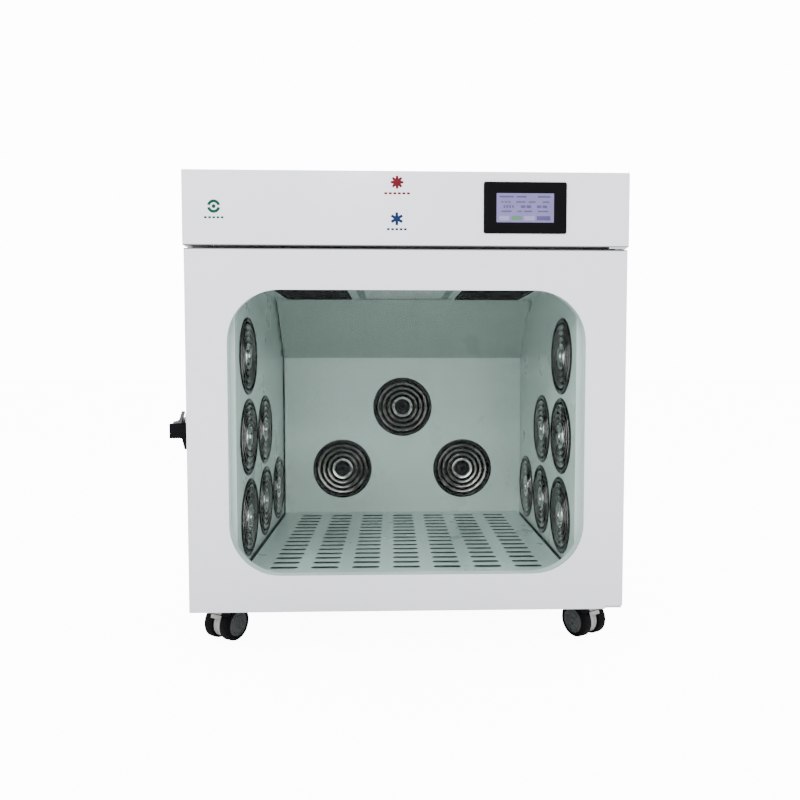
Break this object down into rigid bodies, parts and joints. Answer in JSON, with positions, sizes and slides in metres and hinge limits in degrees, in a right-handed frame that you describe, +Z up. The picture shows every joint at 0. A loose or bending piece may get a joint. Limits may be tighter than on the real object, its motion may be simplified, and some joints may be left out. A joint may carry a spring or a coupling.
{
  "type": "ventilated drying cabinet",
  "caption": "Wheeled laboratory cabinet with a full-width glazed door, ring air outlets in the chamber walls, a slotted floor and a touch screen in the top fascia.",
  "frame": {"origin": "on the floor, under the centre of the outer box", "axes": "+Z up, -Y out of the door's front, +X to the viewer's right when facing the door"},
  "size_m": [0.791, 0.714, 0.84],
  "materials": {
    "white_paint": "satin powder coat, light grey-white",
    "frame_paint": "satin powder coat",
    "galvanised": "galvanised sheet",
    "chamber_paint": "semi-gloss pale grey-green",
    "grille_paint": "semi-gloss pale grey-green",
    "return_grille": "satin grey",
    "lamp": "opal diffuser",
    "chrome_vent": "polished",
    "black_bezel": "gloss",
    "screen": "lit display",
    "circuit_board": "solder mask",
    "black_steel": "black oxide",
    "bush": "acetal",
    "door_glass": "clear, slight green tint",
    "black_rubber": "matt",
    "latch_black": "fine texture",
    "latch_grey": "brushed",
    "spigot_steel": "galvanised tube",
    "grille_white": "satin powder coat",
    "inlet_black": "moulded",
    "motor": "cast",
    "impeller": "moulded",
    "castor_steel": "zinc plated",
    "castor_grey": "moulded nylon",
    "tyre": "polyurethane tread",
    "screws": "zinc plated"
  },
  "bodies": {
    "cabinet": {"left_side_panel": "white_paint", "right_side_panel": "white_paint", "rear_panel": "white_paint", "top_hood": "white_paint", "control_fascia": "white_paint", "front_frame": "frame_paint", "base_pan": "galvanised", "blower_housing": "galvanised", "heater_element": "galvanised", "chamber_left_wall": "chamber_paint", "chamber_right_wall": "chamber_paint", "chamber_rear_wall": "chamber_paint", "chamber_ceiling": "chamber_paint", "drip_tray": "chamber_paint", "return_air_grilles": "return_grille", "ceiling_lamp": "lamp", "vent_rear_1": "chrome_vent", "vent_rear_2": "chrome_vent", "vent_rear_3": "chrome_vent", "vent_left_1": "chrome_vent", "vent_left_2": "chrome_vent", "vent_left_3": "chrome_vent", "vent_left_4": "chrome_vent", "vent_left_5": "chrome_vent", "vent_left_6": "chrome_vent", "vent_right_1": "chrome_vent", "vent_right_2": "chrome_vent", "vent_right_3": "chrome_vent", "vent_right_4": "chrome_vent", "vent_right_5": "chrome_vent", "vent_right_6": "chrome_vent", "touch_screen_bezel": "black_bezel", "touch_screen_display": "screen", "control_board": "circuit_board", "hinge_pivot_plates": "black_steel", "latch_base": "latch_black", "exhaust_spigot": "spigot_steel", "intake_grille": "grille_white", "power_inlet": "inlet_black", "blower_motor": "motor", "castor_plates": "castor_steel", "fasteners": "screws"},
    "door": {"door_outer_skin": "white_paint", "door_inner_skin": "white_paint", "door_glass": "door_glass", "glass_gasket": "black_rubber", "door_gasket": "black_rubber", "hinge_bushes": "bush", "latch_keeper": "latch_grey"},
    "latch_lever": {"latch_lever": "latch_grey"},
    "floor_grille": {"floor_grille": "grille_paint"},
    "blower_impeller": {"blower_impeller": "impeller"},
    "castor_front_left": {"castor_hood_front_left": "castor_grey"},
    "wheels_front_left": {"castor_wheels_front_left": "tyre"},
    "castor_front_right": {"castor_hood_front_right": "castor_grey"},
    "wheels_front_right": {"castor_wheels_front_right": "tyre"},
    "castor_rear_left": {"castor_hood_rear_left": "castor_grey"},
    "wheels_rear_left": {"castor_wheels_rear_left": "tyre"},
    "castor_rear_right": {"castor_hood_rear_right": "castor_grey"},
    "wheels_rear_right": {"castor_wheels_rear_right": "tyre"}
  },
  "joints": [
    {"name": "door_hinge", "type": "hinge", "parent": "cabinet", "child": "door", "pos_m": [0.3775, -0.341, 0.396], "axis": [0, 0, 1], "range_deg": [0, 115]},
    {"name": "latch_pivot", "type": "hinge", "parent": "cabinet", "child": "latch_lever", "pos_m": [-0.3825, -0.293, 0.4145], "axis": [0, 0, 1], "range_deg": [-55, 4]},
    {"name": "floor_grille_lift", "type": "slide", "parent": "cabinet", "child": "floor_grille", "axis": [0, 0, 1], "range_m": [0, 0.25]},
    {"name": "blower_spin", "type": "hinge", "parent": "cabinet", "child": "blower_impeller", "pos_m": [0.0155, 0.145, 0.74], "axis": [0, 0, 1], "continuous": true},
    {"name": "castor_swivel_front_left", "type": "hinge", "parent": "cabinet", "child": "castor_front_left", "pos_m": [-0.3145, -0.241, 0.07], "axis": [0, 0, 1], "continuous": true},
    {"name": "wheel_roll_front_left", "type": "hinge", "parent": "castor_front_left", "child": "wheels_front_left", "pos_m": [-0.32295, -0.25689, 0.031], "axis": [0.8829, -0.4695, 0], "continuous": true},
    {"name": "castor_swivel_front_right", "type": "hinge", "parent": "cabinet", "child": "castor_front_right", "pos_m": [0.3455, -0.241, 0.07], "axis": [0, 0, 1], "continuous": true},
    {"name": "wheel_roll_front_right", "type": "hinge", "parent": "castor_front_right", "child": "wheels_front_right", "pos_m": [0.35395, -0.25689, 0.031], "axis": [0.8829, 0.4695, 0], "continuous": true},
    {"name": "castor_swivel_rear_left", "type": "hinge", "parent": "cabinet", "child": "castor_rear_left", "pos_m": [-0.3145, 0.217, 0.07], "axis": [0, 0, 1], "continuous": true},
    {"name": "wheel_roll_rear_left", "type": "hinge", "parent": "castor_rear_left", "child": "wheels_rear_left", "pos_m": [-0.3145, 0.235, 0.031], "axis": [-1, 0, 0], "continuous": true},
    {"name": "castor_swivel_rear_right", "type": "hinge", "parent": "cabinet", "child": "castor_rear_right", "pos_m": [0.3455, 0.217, 0.07], "axis": [0, 0, 1], "continuous": true},
    {"name": "wheel_roll_rear_right", "type": "hinge", "parent": "castor_rear_right", "child": "wheels_rear_right", "pos_m": [0.3455, 0.235, 0.031], "axis": [-1, 0, 0], "continuous": true}
  ]
}
